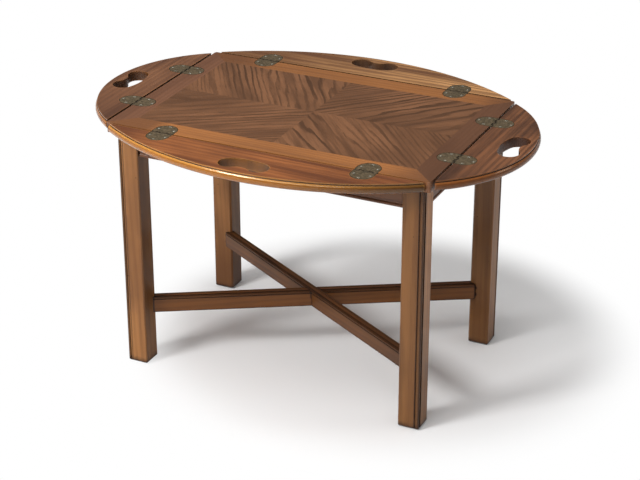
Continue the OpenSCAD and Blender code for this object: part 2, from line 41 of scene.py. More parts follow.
# The figure of a wood: features are counted to the metre, and a pair gives the ends of a fade.
WAVE_LENGTH = 2.0 * math.pi / 20.0       # from ring to ring in a wave texture of scale 1, in metres
RING_LAYERS = 4.0                        # finer layers of the rings' waver
LATE_FADE = 0.2                          # share of a ring over which the late wood sets in
PATCHES = 16.0                           # patches of clear and of faint rings
PATCH_FADE: Span = (0.38, 0.6)
FAINTEST_RINGS = 0.15                    # how strongly rings show where they are faintest
STREAKS = 48.0
STREAK_SQUASH = 0.4                      # a streak's width for its length, where a ring's is 1
STREAK_FADE: Span = (0.46, 0.66)
PORE_SQUASH = 0.25                       # a pore's width for its length, where a ring's is 1
PORE_FADE: Span = (0.52, 0.68)
EARLY_PORES = 0.3                        # how strongly pores show in the early wood
CLOUDS = 9.0
CLOUD_SQUASH = 0.45                      # a cloud's width for its length
CLOUD_FADE: Span = (0.42, 0.66)
SIDE_LEAN = 0.6                          # how much of a log's tilt shows sideways too

# Which faces count as level, and which as facing along X.
LEVEL_FADE: Span = (0.6, 0.97)
SIDE_FADE: Span = (0.5, 0.9)

# Dark stretches of a board, heights of the painted light and shade on the legs' faces across X, and small
# marks.
DUSK_BENDS = 18.0
DUSK_WAVER = 0.03
DUSK_DEPTH = 0.8
FLANK_HEIGHTS: Span = (0.06, 0.42)
FLECKS = 34.0
FLECK_FADE: Span = (0.02, 0.05)

# Moulded edges with a painted highlight on their shoulder, and painted shade on the walls of hand holes.
RIM_SHARE = 0.8
HOLE_REACH = 60.0 * MM
OPEN_FADE: Span = (0.06, 0.2)
HOLE_FADE: Span = (0.05, 0.36)
SHOULDER_FADE: Span = (0.3, 0.55)
CROWN_FADE: Span = (0.8, 0.95)
COAT_ROUGHNESS = 0.14

# Dirt and painted shade near the floor, arrises (a painted highlight on the leaves), dirt and painted
# shade in grooves, and lacquer.
FOOT_DARK_BENDS = 130.0
FOOT_DARK_WAVER = 0.01
FOOT_DARK_START = -0.004
FOOT_DARK_DEPTH = 0.85
ARRIS_FADE: Span = (0.12, 0.42)
GROOVE_REACH = 4.0 * MM
GROOVE_FADE: Span = (0.24, 0.6)
GROOVE_DEPTH = 0.92
SHEEN_FADE: Span = (0.35, 0.65)
SHEEN_SPREAD: Span = (-0.05, 0.07)       # how far a lacquer's roughness strays from its sheen
RING_SINK = 0.3                          # how deep the late wood lies, where a pore is 1
WOOD_RELIEF = 0.15 * MM
WOOD_BUMP = 0.25

# Patina, edges (rubbed on steel, painted shade on the brass), dirt and painted shade in corners, and pits
# of metal.
PATINA_CLOUDS = 260.0
PATINA_FADE: Span = (0.36, 0.62)
METAL_EDGE_FADE: Span = (0.1, 0.45)
METAL_EDGE_DEPTH = 0.85
CORNER_REACH = 1.6 * MM
CORNER_FADE: Span = (0.25, 0.7)
PITS = 1400.0
PIT_SPREAD: Span = (-0.08, 0.12)         # how far a metal's roughness strays from its sheen
METAL_RELIEF = 0.1 * MM
METAL_BUMP = 0.2

# Eased arrises.
WELD_REACH = 0.001 * MM
SHARP_ANGLE = math.radians(40.0)


def paint(red: int, green: int, blue: int) -> Colour:
    """Turn a colour as a screen shows it into the linear colour that shaders take.

    Args:
        red: Red, 0 to 255.
        green: Green, 0 to 255.
        blue: Blue, 0 to 255.

    Returns:
        The colour in linear light, 0 to 1.
    """
    def straight(level: int) -> float:
        """Linear light of one screen level."""
        part = level / 255.0
        return part / 12.92 if part <= 0.04045 else ((part + 0.055) / 1.055) ** 2.4

    return straight(red), straight(green), straight(blue)


class Nodes:
    """Short calls for the nodes of one tree."""

    def __init__(self, tree: bpy.types.NodeTree) -> None:
        """Start with an empty tree.

        Args:
            tree: The node tree of a material or of the world.
        """
        self.tree = tree
        self.tree.nodes.clear()

    def node(self, kind: str, sockets: dict[str | int, Any] | None = None,
             **settings: Any) -> bpy.types.Node:
        """Add a node, set its options and fill or link its input sockets.

        Args:
            kind: The node's type name.
            sockets: Values or other nodes' outputs, by the input's name or place.
            **settings: The node's own options, by name.

        Returns:
            The new node.
        """
        made = self.tree.nodes.new(kind)
        for option, choice in settings.items():
            setattr(made, option, choice)
        for title, value in (sockets or {}).items():
            self.fill(made.inputs[title], value)
        return made

    def fill(self, socket: Socket, value: Any) -> None:
        """Link a socket to another node's output, or set its value.

        Args:
            socket: The input to fill.
            value: An output socket, a number, or a colour or vector of three numbers.
        """
        if isinstance(value, bpy.types.NodeSocket):
            self.tree.links.new(value, socket)
        elif socket.type == "RGBA":
            socket.default_value = (*value, 1.0)
        else:
            socket.default_value = value

    def sums(self, operation: str, first: Any, second: Any = 0.0, third: Any = 0.0) -> Socket:
        """Work out one number from up to three.

        Args:
            operation: The Math node's operation.
            first: Its first number or socket.
            second: Its second number or socket.
            third: Its third number or socket.

        Returns:
            The result's socket.
        """
        return self.node("ShaderNodeMath", {0: first, 1: second, 2: third}, operation=operation).outputs[0]

    def times(self, first: Any, second: Any) -> Socket:
        """Multiply two numbers or sockets."""
        return self.sums("MULTIPLY", first, second)

    def rest(self, share: Socket) -> Socket:
        """What a share leaves of the whole."""
        return self.sums("SUBTRACT", 1.0, share)

    def parts(self, vector: Socket) -> Sequence[Socket]:
        """Take a vector apart into its X, Y and Z."""
        return self.node("ShaderNodeSeparateXYZ", {"Vector": vector}).outputs

    def mixed(self, share: Socket, under: Any, over: Any) -> Socket:
        """Mix two numbers.

        Args:
            share: How much of `over` there is, 0 to 1.
            under: A number or socket.
            over: A number or socket.

        Returns:
            The mixed number's socket.
        """
        return self.node("ShaderNodeMix", {0: share, 2: under, 3: over}).outputs[0]

    def span(self, value: Socket, low: float, high: float, least: Any = 0.0, most: Any = 1.0) -> Socket:
        """Stretch a number from one span to another, held at the ends and eased between.

        Args:
            value: The number.
            low: Where the result is `least`.
            high: Where the result is `most`.
            least: The result at `low`, a number or socket.
            most: The result at `high`, a number or socket.

        Returns:
            The result's socket.
        """
        made = self.node("ShaderNodeMapRange", {"Value": value, "From Min": low, "From Max": high,
                                                "To Min": least, "To Max": most},
                         interpolation_type="SMOOTHSTEP")
        return made.outputs[0]


class Recipe(Nodes):
    """A material under construction, with the calls that finishes use."""

    def __init__(self, name: str) -> None:
        """Start an empty material.

        Args:
            name: The material's name.
        """
        self.material: Material = bpy.data.materials.new(name)
        self.material.use_nodes = True
        super().__init__(self.material.node_tree)

    def place(self) -> Socket:
        """Where a point lies on its own piece, in metres."""
        return self.node("ShaderNodeTexCoord").outputs["Object"]

    def blend(self, share: Any, under: Any, over: Any) -> Socket:
        """Lay one colour over another.

        Args:
            share: How much of `over` shows, 0 to 1.
            under: The colour below.
            over: The colour above.

        Returns:
            The colour's socket.
        """
        return self.node("ShaderNodeMix", {0: share, 6: under, 7: over}, data_type="RGBA").outputs[2]

    def lit(self, colour: Socket, light: Any) -> Socket:
        """Multiply a colour by a light.

        Args:
            colour: The colour.
            light: The light, as three numbers or a colour's socket.

        Returns:
            The colour's socket.
        """
        made = self.node("ShaderNodeMix", {0: 1.0, 6: colour, 7: light}, data_type="RGBA",
                         blend_type="MULTIPLY")
        return made.outputs[2]

    def mapping(self, spot: Socket, turn: Vector3 = (0.0, 0.0, 0.0), shift: Vector3 = (0.0, 0.0, 0.0),
                scale: Vector3 = (1.0, 1.0, 1.0)) -> Socket:
        """Scale, turn and then shift a point.

        Args:
            spot: The point.
            turn: Turns about X, Y and Z, in degrees.
            shift: The shift, in metres.
            scale: The scale along each axis.

        Returns:
            The moved point's socket.
        """
        made = self.node("ShaderNodeMapping", {"Vector": spot})
        made.inputs["Rotation"].default_value = tuple(math.radians(part) for part in turn)
        made.inputs["Location"].default_value = shift
        made.inputs["Scale"].default_value = scale
        return made.outputs[0]

    def noise(self, spot: Socket, scale: float, detail: float = 2.0, rough: float = 0.5) -> Socket:
        """Soft cloudy noise, about 0.3 to 0.7.

        Args:
            spot: Where it is read.
            scale: Features to the metre.
            detail: How many finer layers it has.
            rough: How strong the finer layers are.

        Returns:
            The noise's socket.
        """
        made = self.node("ShaderNodeTexNoise", {"Vector": spot, "Scale": scale, "Detail": detail,
                                                "Roughness": rough})
        return made.outputs[0]

    def crevice(self, reach: float, inside: bool = False, samples: int = 6) -> Socket:
        """How hemmed in a point is: 0 in the open, towards 1 deep in a groove.

        Args:
            reach: How far round it looks, in metres.
            inside: Look into the material instead, which finds the outer arrises.
            samples: How many looks it takes.

        Returns:
            The amount's socket.
        """
        made = self.node("ShaderNodeAmbientOcclusion", {"Distance": reach}, samples=samples, inside=inside)
        return self.sums("SUBTRACT", 1.0, made.outputs["AO"])

    def surface(self, sockets: dict[str, Any]) -> Material:
        """Finish the material with one principled surface.

        Args:
            sockets: The surface's inputs, by name.

        Returns:
            The finished material.
        """
        shader = self.node("ShaderNodeBsdfPrincipled", sockets)
        self.node("ShaderNodeOutputMaterial", {"Surface": shader.outputs[0]})
        return self.material


class Grain(Enum):
    """Which way a board's grain runs: the turns that lay it along X."""

    ALONG_X = (0.0, 0.0, 0.0)
    ALONG_Y = (0.0, 0.0, -90.0)
    UPRIGHT = (0.0, 90.0, 0.0)


@dataclass(frozen=True)
class Cut:
    """How a board came out of its log.

    Attributes:
        grain: Which way its grain runs.
        slant: Further turn of the grain about Z, in degrees.
        pith: Where the heart of the log lay, across and above the board, in metres.
        tilt: How far the log leaned out of the board, in degrees, which draws arches.
        log: A place along the log, so that no two boards match, in metres.
        dusk: Dark stretches: where along the board each is darkest and where it ends, in metres.
        tone: How light this board is made, where 1 is the finish's own colour; on the legs this is partly
            painted light and shade.
        painted_flank_light: Painted light and shade on its two faces across X, as how light they are
            beside the others, low down and high up.
        shade: Painted shade on its moulded edge: where along the board it is darkest and where it ends, in
            metres.
    """

    grain: Grain
    slant: float = 0.0
    pith: Span = (0.02, -0.09)
    tilt: float = 1.2
    log: float = 0.0
    dusk: tuple[Span, ...] = ()
    tone: float = 1.0
    painted_flank_light: Span = (1.0, 1.0)
    shade: Span | None = None

    def lay(self, recipe: Recipe) -> Socket:
        """Point on the board, in the log's own axes, with X along the grain.

        Args:
            recipe: The material under construction.

        Returns:
            The point's socket.
        """
        first, second, third = self.grain.value
        turned = recipe.mapping(recipe.place(), (first, second, third - self.slant))
        lean = (0.0, self.tilt, self.tilt * SIDE_LEAN)
        return recipe.mapping(turned, lean, (self.log, -self.pith[0], -self.pith[1]))

    def darkened(self, recipe: Recipe, stretches: Sequence[Span]) -> Any:
        """How far a point lies in dark stretches of the board, 0 to 1.

        Args:
            recipe: The material under construction.
            stretches: Where along the board each is darkest and where it ends, in metres.

        Returns:
            The amount's socket.
        """
        turned = recipe.mapping(recipe.place(), self.grain.value)
        waver = recipe.times(recipe.noise(turned, DUSK_BENDS, detail=3.0), DUSK_WAVER)
        centred = recipe.sums("SUBTRACT", waver, DUSK_WAVER / 2.0)
        ragged = recipe.sums("ADD", recipe.parts(turned)[0], centred)
        amount: Any = 0.0
        for dark, clear in stretches:
            low, high, least, most = (dark, clear, 1.0, 0.0) if dark < clear else (clear, dark, 0.0, 1.0)
            amount = recipe.sums("MAXIMUM", amount, recipe.span(ragged, low, high, least, most))
        return amount


@dataclass(frozen=True)
class Faces:
    """Which way the surface faces at a point, as sockets.

    Attributes:
        across: How far it faces along X, -1 to 1.
        up: How far it faces up, -1 to 1.
        level: 1 on level faces, 0 on upright ones.
        upright: 0 on level faces, 1 on upright ones.
    """

    across: Socket
    up: Socket
    level: Socket
    upright: Socket

    @classmethod
    def read(cls, recipe: Recipe) -> "Faces":
        """Read it from the piece's own normals.

        Args:
            recipe: The material under construction.

        Returns:
            The sockets.
        """
        normal = recipe.parts(recipe.node("ShaderNodeTexCoord").outputs["Normal"])
        level = recipe.span(recipe.sums("ABSOLUTE", normal[2]), *LEVEL_FADE)
        return cls(normal[0], normal[2], level, recipe.rest(level))


@dataclass(frozen=True)
class Figure:
    """What a wood's figure gives at a point, as sockets.

    Attributes:
        colour: Its colour.
        late: 1 in the dark late wood, 0 in the early wood.
        pores: 1 in an open pore, 0 beside it.
        patch: Soft noise that runs with the grain.
    """

    colour: Socket
    late: Socket
    pores: Socket
    patch: Socket


@dataclass(frozen=True)
class WoodFinish:
    """A stained and lacquered wood.

    Attributes:
        pale: Colour of the early wood, between the rings.
        deep: Colour of the late wood, where a ring ends.
        streak: Colour of the broad streaks along the grain.
        ring_pitch: Distance from ring to ring, in metres.
        ring_depth: How strongly the rings show, 0 to 1.
        streak_depth: How strongly the streaks show, 0 to 1.
        waver: How far the rings wander, in radians of their pattern.
        sheen: Roughness of the lacquer.
        gloss: Specular level of the lacquer.
        arris: Colour that the arrises take; on the leaves it is pale, a painted highlight, which the
            moulded edge's shoulder takes too.
        arris_change: How much the arrises take that colour, 0 to 1.
        reach: How far from an arris its change goes, in metres.
        rim: Colour that an upright moulded edge takes, where it differs.
        hole_painted_shade: How dark the painted shade on the walls of a hole and other hemmed-in upright
            faces is, 0 to 1.
        coat: How much of a glossy last coat the upright edges have, 0 to 1.
        tint: Colour of the upright edges' shine.
        painted_shoulder_highlight: How strongly the moulded edge's shoulder takes the arris colour, as a
            painted highlight, 0 to 1.
        flecks: How strongly small dark marks show, 0 to 1.
        clouds: How strongly slow patches of the darker stain show, 0 to 1.
        pore: Width of a pore streak, in metres.
        pore_depth: How strongly the pores show, 0 to 1.
        stretch: How wide the figure is across the grain, where it is 1 long along it.
        polish: Roughness of upright faces, which hands have polished.
        fray: How rough the rings' waver is, 0 to 1.
        bends: How often the rings bend, to the metre across the grain.
        onset: Where between two rings the dark late wood starts, 0 to 1.
        foot_dirt_and_painted_shade_height: Height above the floor that the dirt and painted shade at the
            feet reach, in metres.
        glaze_and_painted_shade: Colour of small marks and dirt, and of the painted shade in grooves,
            hollows, at the feet and along a moulded edge.
    """

    pale: Colour
    deep: Colour
    streak: Colour
    ring_pitch: float = 6.0 * MM
    ring_depth: float = 0.5
    streak_depth: float = 0.5
    waver: float = 7.0
    sheen: float = 0.42
    gloss: float = 0.3
    arris: Colour = paint(150, 98, 58)
    arris_change: float = 0.25
    reach: float = 2.6 * MM
    rim: Colour | None = None
    hole_painted_shade: float = 0.7
    coat: float = 0.0
    tint: Colour = (1.0, 0.78, 0.5)
    painted_shoulder_highlight: float = 0.0
    flecks: float = 0.0
    clouds: float = 0.35
    pore: float = 0.9 * MM
    pore_depth: float = 0.35
    stretch: float = 0.09
    polish: float = 0.24
    fray: float = 0.5
    bends: float = 14.0
    onset: float = 0.45
    foot_dirt_and_painted_shade_height: float = 0.0
    glaze_and_painted_shade: Colour = paint(30, 18, 12)

    def make(self, name: str, cut: Cut) -> Material:
        """Make the finish for one board.

        Args:
            name: The material's name.
            cut: How that board came out of its log.

        Returns:
            The material.
        """
        recipe = Recipe(name)
        board = cut.lay(recipe)
        faces = Faces.read(recipe)
        figure = self.figure(recipe, board, faces)
        colour = figure.colour
        if cut.dusk:
            dusk = recipe.times(cut.darkened(recipe, cut.dusk), DUSK_DEPTH)
            colour = recipe.blend(dusk, colour, self.streak)
        shown = faces.upright
        if self.rim:
            colour, shown = self.moulded(recipe, cut, faces, colour)
        colour = self.painted_light_and_tone(recipe, cut, board, faces, colour)
        glossy, matt = (self.sheen + part for part in SHEEN_SPREAD)
        lacquer = recipe.times(recipe.span(figure.patch, *SHEEN_FADE, glossy, matt), recipe.rest(shown))
        rough = recipe.sums("ADD", lacquer, recipe.times(shown, self.polish))
        relief = recipe.sums("SUBTRACT", recipe.times(figure.late, -RING_SINK), figure.pores)
        bump = recipe.node("ShaderNodeBump", {"Height": relief, "Strength": WOOD_BUMP,
                                              "Distance": WOOD_RELIEF})
        sockets = {"Base Color": self.soiled_and_painted_light(recipe, colour), "Roughness": rough,
                   "Normal": bump.outputs[0], "Specular IOR Level": self.gloss}
        if self.rim:
            sockets["Coat Roughness"] = COAT_ROUGHNESS
            sockets["Coat Weight"] = recipe.times(shown, self.coat)
            sockets["Specular Tint"] = recipe.blend(shown, (1.0, 1.0, 1.0), self.tint)
        return recipe.surface(sockets)

    def figure(self, recipe: Recipe, board: Socket, faces: Faces) -> Figure:
        """Draw rings, streaks, pores and clouds.

        Args:
            recipe: The material under construction.
            board: The point, in the log's own axes.
            faces: Which way the surface faces.

        Returns:
            The figure.
        """
        grain = recipe.mapping(board, scale=(self.stretch, 1.0, 1.0))
        rings = recipe.node("ShaderNodeTexWave", {
            "Vector": grain, "Scale": WAVE_LENGTH / self.ring_pitch, "Distortion": self.waver,
            "Detail": RING_LAYERS, "Detail Scale": self.bends * self.ring_pitch / WAVE_LENGTH,
            "Detail Roughness": self.fray,
        }, wave_type="RINGS", rings_direction="X", wave_profile="SAW").outputs["Fac"]
        patch = recipe.noise(grain, PATCHES, detail=3.0)
        late = recipe.span(rings, self.onset, self.onset + LATE_FADE)
        depth = recipe.span(patch, *PATCH_FADE, FAINTEST_RINGS, self.ring_depth)
        colour = recipe.blend(recipe.times(late, depth), self.pale, self.deep)
        long_grain = recipe.mapping(board, scale=(self.stretch * STREAK_SQUASH, 1.0, 1.0))
        streaks = recipe.span(recipe.noise(long_grain, STREAKS, detail=4.0, rough=0.6), *STREAK_FADE)
        colour = recipe.blend(recipe.times(streaks, self.streak_depth), colour, self.streak)
        fibres = recipe.mapping(board, scale=(self.stretch * PORE_SQUASH, 1.0, 1.0))
        pores = recipe.span(recipe.noise(fibres, 1.0 / self.pore), *PORE_FADE)
        if self.rim:
            pores = recipe.times(pores, faces.level)
        open_share = recipe.sums("ADD", recipe.times(late, 1.0 - EARLY_PORES), EARLY_PORES)
        pores_seen = recipe.times(recipe.times(pores, open_share), self.pore_depth)
        colour = recipe.blend(pores_seen, colour, self.deep)
        broad = recipe.mapping(board, scale=(CLOUD_SQUASH, 1.0, 1.0))
        cloud = recipe.noise(broad, CLOUDS, detail=3.0, rough=0.55)
        colour = recipe.blend(recipe.span(cloud, *CLOUD_FADE, 0.0, self.clouds), colour, self.streak)
        return Figure(colour, late, pores, patch)

    def moulded(self, recipe: Recipe, cut: Cut, faces: Faces, colour: Socket) -> tuple[Socket, Socket]:
        """Colour a leaf's moulded edge, paint shade on its grooves and hemmed-in upright faces such as the
        hand hole's walls and along the edge's darker stretch, and paint a highlight on the edge's
        shoulder.

        Args:
            recipe: The material under construction.
            cut: How the leaf came out of its log.
            faces: Which way the surface faces.
            colour: The leaf's colour so far.

        Returns:
            The colour, and how much of an upright, open face there is, 0 to 1.
        """
        colour = recipe.blend(recipe.times(faces.upright, RIM_SHARE), colour, self.rim)
        # Painted shade on upright faces that are hemmed in, such as the walls of the hand hole.
        deep = recipe.crevice(HOLE_REACH, samples=32)
        shown = recipe.times(faces.upright, recipe.span(deep, *OPEN_FADE, 1.0, 0.0))
        dark = recipe.span(deep, *HOLE_FADE, 0.0, self.hole_painted_shade)
        # Painted shade along the darker stretch of the moulded edge.
        if cut.shade:
            dark = recipe.sums("MAXIMUM", dark, cut.darkened(recipe, (cut.shade,)))
        colour = recipe.blend(recipe.times(faces.upright, dark), colour, self.glaze_and_painted_shade)
        # A painted highlight on the moulded edge's shoulder, in the arris colour.
        shoulder = recipe.times(recipe.span(faces.up, *SHOULDER_FADE),
                                recipe.span(faces.up, *CROWN_FADE, 1.0, 0.0))
        painted_shoulder_highlight = recipe.times(shoulder, recipe.times(recipe.rest(dark), self.painted_shoulder_highlight))
        return recipe.blend(painted_shoulder_highlight, colour, self.arris), shown

    def painted_light_and_tone(self, recipe: Recipe, cut: Cut, board: Socket, faces: Faces, colour: Socket) -> Socket:
        """Paint light and shade on the faces across X, add small dark marks, and make the board lighter or
        darker, on the legs partly as painted light.

        Args:
            recipe: The material under construction.
            cut: How the board came out of its log.
            board: The point, in the log's own axes.
            faces: Which way the surface faces.
            colour: The board's colour so far.

        Returns:
            The colour's socket.
        """
        # Painted light and shade on the faces across X, changing with height.
        if cut.painted_flank_light != (1.0, 1.0):
            light = recipe.span(recipe.parts(recipe.place())[2], *FLANK_HEIGHTS, *cut.painted_flank_light)
            side = recipe.span(recipe.sums("ABSOLUTE", faces.across), *SIDE_FADE, 1.0, light)
            grey = recipe.node("ShaderNodeCombineColor", {"Red": side, "Green": side, "Blue": side})
            colour = recipe.lit(colour, grey.outputs[0])
        if self.flecks > 0.0:
            marks = recipe.node("ShaderNodeTexVoronoi", {"Vector": board, "Scale": FLECKS})
            near = recipe.span(marks.outputs["Distance"], *FLECK_FADE, self.flecks, 0.0)
            colour = recipe.blend(near, colour, self.glaze_and_painted_shade)
        # The board made lighter or darker; on the legs this is partly painted light and shade.
        return recipe.lit(colour, (cut.tone,) * 3)

    def soiled_and_painted_light(self, recipe: Recipe, colour: Socket) -> Socket:
        """Add dirt and painted shade at the feet, the arris colour (a painted highlight on the leaves),
        and dirt and painted shade in grooves.

        Args:
            recipe: The material under construction.
            colour: The board's colour so far.

        Returns:
            The colour's socket.
        """
        # Dirt and painted shade at the feet, darker towards the floor.
        if self.foot_dirt_and_painted_shade_height > 0.0:
            place = recipe.place()
            waver = recipe.times(recipe.noise(place, FOOT_DARK_BENDS), -FOOT_DARK_WAVER)
            ragged = recipe.sums("ADD", recipe.parts(place)[2], waver)
            dirt_and_painted_shade = recipe.span(ragged, FOOT_DARK_START, self.foot_dirt_and_painted_shade_height, FOOT_DARK_DEPTH, 0.0)
            colour = recipe.blend(dirt_and_painted_shade, colour, self.glaze_and_painted_shade)
        # The arris colour on the arrises: dark glaze on the stand, a painted highlight on the leaves.
        edge_wear_and_painted_light = recipe.span(recipe.crevice(self.reach, inside=True, samples=12), *ARRIS_FADE, 0.0, self.arris_change)
        colour = recipe.blend(edge_wear_and_painted_light, colour, self.arris)
        # Dirt and painted shade in grooves, from how hemmed in a point is.
        crevice_dirt_and_painted_shade = recipe.span(recipe.crevice(GROOVE_REACH, samples=10), *GROOVE_FADE, 0.0, GROOVE_DEPTH)
        return recipe.blend(crevice_dirt_and_painted_shade, colour, self.glaze_and_painted_shade)


@dataclass(frozen=True)
class MetalFinish:
    """An aged metal.

    Attributes:
        bright: Colour where its patina is thin; on the screws it is nearly white, a painted glint.
        dull: Colour of its patina.
        sheen: Its roughness.
        crevice_dirt_and_painted_shade: How much dirt and painted shade its corners hold, 0 to 1.
        metal: How much of it shows as bare metal, 0 to 1.
        edge: Colour of its edges: rubbed on steel, dark painted shade along the hinge plates' edges and
            round the screws' painted glint.
        reach: How far from an arris that colour goes, in metres.
        dirt_and_painted_shade: Colour of the dirt and painted shade in its corners.
    """

    bright: Colour
    dull: Colour
    sheen: float = 0.42
    crevice_dirt_and_painted_shade: float = 0.8
    metal: float = 0.9
    edge: Colour = paint(200, 190, 160)
    reach: float = 0.8 * MM
    dirt_and_painted_shade: Colour = paint(24, 18, 12)

    def make(self, name: str) -> Material:
        """Make the finish.

        Args:
            name: The material's name.

        Returns:
            The material.
        """
        recipe = Recipe(name)
        spot = recipe.place()
        cloud = recipe.noise(spot, PATINA_CLOUDS, detail=5.0, rough=0.6)
        colour = recipe.blend(recipe.span(cloud, *PATINA_FADE), self.bright, self.dull)
        # Edges: rubbed on steel, painted shade on the hinge plates and round the screws' painted glint.
        edge_wear_and_painted_light = recipe.span(recipe.crevice(self.reach, inside=True), *METAL_EDGE_FADE, 0.0, METAL_EDGE_DEPTH)
        colour = recipe.blend(edge_wear_and_painted_light, colour, self.edge)
        # Dirt and painted shade in corners.
        soiled_and_painted_light = recipe.span(recipe.crevice(CORNER_REACH), *CORNER_FADE, 0.0, self.crevice_dirt_and_painted_shade)
        colour = recipe.blend(soiled_and_painted_light, colour, self.dirt_and_painted_shade)
        glossy, matt = (self.sheen + part for part in PIT_SPREAD)
        rough = recipe.span(recipe.noise(spot, PITS), *SHEEN_FADE, glossy, matt)
        bump = recipe.node("ShaderNodeBump", {"Height": cloud, "Strength": METAL_BUMP,
                                              "Distance": METAL_RELIEF})
        return recipe.surface({
            "Base Color": colour, "Roughness": rough, "Metallic": self.metal, "Normal": bump.outputs[0],
        })


LEG = WoodFinish(paint(152, 103, 58), paint(104, 65, 35), paint(98, 61, 33), 9.0 * MM, 0.4, 0.45,
                 gloss=0.24, arris=paint(46, 29, 19), arris_change=0.95, reach=4.5 * MM, flecks=0.9, clouds=0.6,
                 polish=0.3, foot_dirt_and_painted_shade_height=9.0 * MM)
APRON = WoodFinish(paint(128, 84, 54), paint(90, 56, 36), paint(80, 50, 32), 7.0 * MM, 0.4, 0.45,
                   arris=paint(60, 38, 24), arris_change=0.7, reach=4.0 * MM, polish=0.3)
STRETCHER = WoodFinish(paint(112, 68, 31), paint(76, 46, 20), paint(66, 40, 20), 8.0 * MM, 0.4, 0.45,
                       gloss=0.24, arris=paint(46, 27, 16), arris_change=0.9, reach=3.6 * MM, clouds=0.5,
                       polish=0.34)
FRONT_LEAF = WoodFinish(paint(168, 102, 55), paint(104, 57, 30), paint(98, 54, 30), 11.0 * MM, 0.45, 0.85,
                        waver=9.0, bends=26.0, stretch=0.06, pore_depth=0.55, clouds=0.5, gloss=0.4,
                        arris=paint(214, 154, 80), rim=paint(160, 98, 22), hole_painted_shade=0.85, coat=0.5,
                        painted_shoulder_highlight=0.6, arris_change=0.2, polish=0.2)
BACK_LEAF = WoodFinish(paint(202, 149, 96), paint(100, 63, 38), paint(104, 66, 40), 12.0 * MM, 0.55, 0.95,
                       waver=9.0, bends=24.0, stretch=0.06, pore_depth=0.5, gloss=0.4,
                       arris=paint(190, 140, 92), rim=paint(146, 94, 48), hole_painted_shade=0.9, coat=0.5,
                       painted_shoulder_highlight=0.4, polish=0.2)
LEFT_LEAF = WoodFinish(paint(138, 93, 63), paint(80, 50, 34), paint(80, 50, 35), 11.0 * MM, 0.4, 0.7,
                       waver=9.0, bends=26.0, stretch=0.07, pore_depth=0.5, clouds=0.6, gloss=0.4,
                       arris=paint(176, 118, 66), rim=paint(144, 86, 34), hole_painted_shade=0.92, coat=0.5,
                       painted_shoulder_highlight=0.5, polish=0.2)
RIGHT_LEAF = WoodFinish(paint(138, 89, 57), paint(60, 38, 26), paint(56, 35, 25), 11.0 * MM, 0.4, 0.75,
                        waver=9.0, bends=26.0, stretch=0.07, pore_depth=0.5, clouds=0.8, gloss=0.4,
                        arris=paint(158, 98, 52), rim=paint(104, 56, 23), hole_painted_shade=0.85, coat=0.2,
                        painted_shoulder_highlight=0.55, polish=0.22)
LONG_BAND = WoodFinish(paint(180, 116, 60), paint(134, 80, 42), paint(96, 60, 38), 7.0 * MM, 0.4, 0.4,
                       gloss=0.4, clouds=0.25)
END_BAND = WoodFinish(paint(112, 76, 58), paint(76, 49, 38), paint(74, 48, 39), 7.0 * MM, 0.4, 0.4,
                      gloss=0.4, clouds=0.7)
FIELD = WoodFinish(paint(131, 90, 62), paint(18, 12, 8), paint(56, 37, 26), 5.4 * MM, 1.0, 0.68,
                   waver=8.0, gloss=0.4, pore=1.2 * MM, pore_depth=0.8, stretch=0.15, clouds=0.6,
                   bends=30.0, onset=0.56)
CORE = WoodFinish(paint(132, 86, 54), paint(100, 62, 38), paint(86, 52, 34), 5.0 * MM, 0.4, 0.4)
INNER = WoodFinish(paint(196, 158, 112), paint(164, 124, 82), paint(150, 110, 72), 6.0 * MM, 0.5, 0.3,
                   sheen=0.6, gloss=0.2, polish=0.6, clouds=0.1)
# The hinge plates' dark edges are painted shade at their recesses.
HINGE_BRASS = MetalFinish(paint(128, 110, 84), paint(92, 80, 58), sheen=0.48, crevice_dirt_and_painted_shade=0.3, metal=0.45,
                          edge=paint(46, 38, 28), reach=1.8 * MM)
# The screws' nearly white heads with dark rims paint a glint.
SCREW_BRASS_PAINTED_GLINT = MetalFinish(paint(246, 240, 222), paint(226, 216, 190), sheen=0.3, metal=0.2,
                          edge=paint(60, 50, 36), reach=1.2 * MM)
STEEL = MetalFinish(paint(190, 190, 186), paint(140, 138, 132), sheen=0.35, edge=paint(200, 200, 196))


class Side(Enum):
    """The four sides of the table, as the names of nodes spell them."""

    FRONT = "front"
    BACK = "back"
    LEFT = "left"
    RIGHT = "right"

    @property
    def long(self) -> bool:
        """Whether this is one of the two long sides."""
        return self in (Side.FRONT, Side.BACK)

    @property
    def run(self) -> Grain:
        """Which way a board along this side has its grain."""
        return Grain.ALONG_X if self.long else Grain.ALONG_Y


LONG_SIDES = (Side.FRONT, Side.BACK)
END_SIDES = (Side.LEFT, Side.RIGHT)
CORNERS = tuple(f"{row.value}_{end.value}" for row in LONG_SIDES for end in END_SIDES)


def dress(names: Sequence[str], finish: Material) -> None:
    """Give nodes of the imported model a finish.

    Args:
        names: The nodes.
        finish: The material that each of their slots takes.
    """
    for name in names:
        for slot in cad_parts[name].material_slots:
            slot.material = finish
        LOG.info("dressed %s in %s", name, finish.name)


def ease(names: Sequence[str], width: float, steps: int = 2) -> None:
    """Round the sharp arrises of packed boards, as sanding leaves them.

    Args:
        names: The nodes.
        width: How far back from the arris the rounding starts, in metres.
        steps: How many facets the rounding has.
    """
    for name in names:
        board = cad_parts[name]
        weld = board.modifiers.new("joined corners", "WELD")
        weld.merge_threshold = WELD_REACH
        bevel = board.modifiers.new("eased arrises", "BEVEL")
        bevel.width = width
        bevel.segments = steps
        bevel.limit_method = "ANGLE"
        bevel.angle_limit = SHARP_ANGLE
        bevel.use_clamp_overlap = True
        bevel.miter_outer = "MITER_ARC"
        normals = board.modifiers.new("flat faces", "WEIGHTED_NORMAL")
        normals.keep_sharp = False


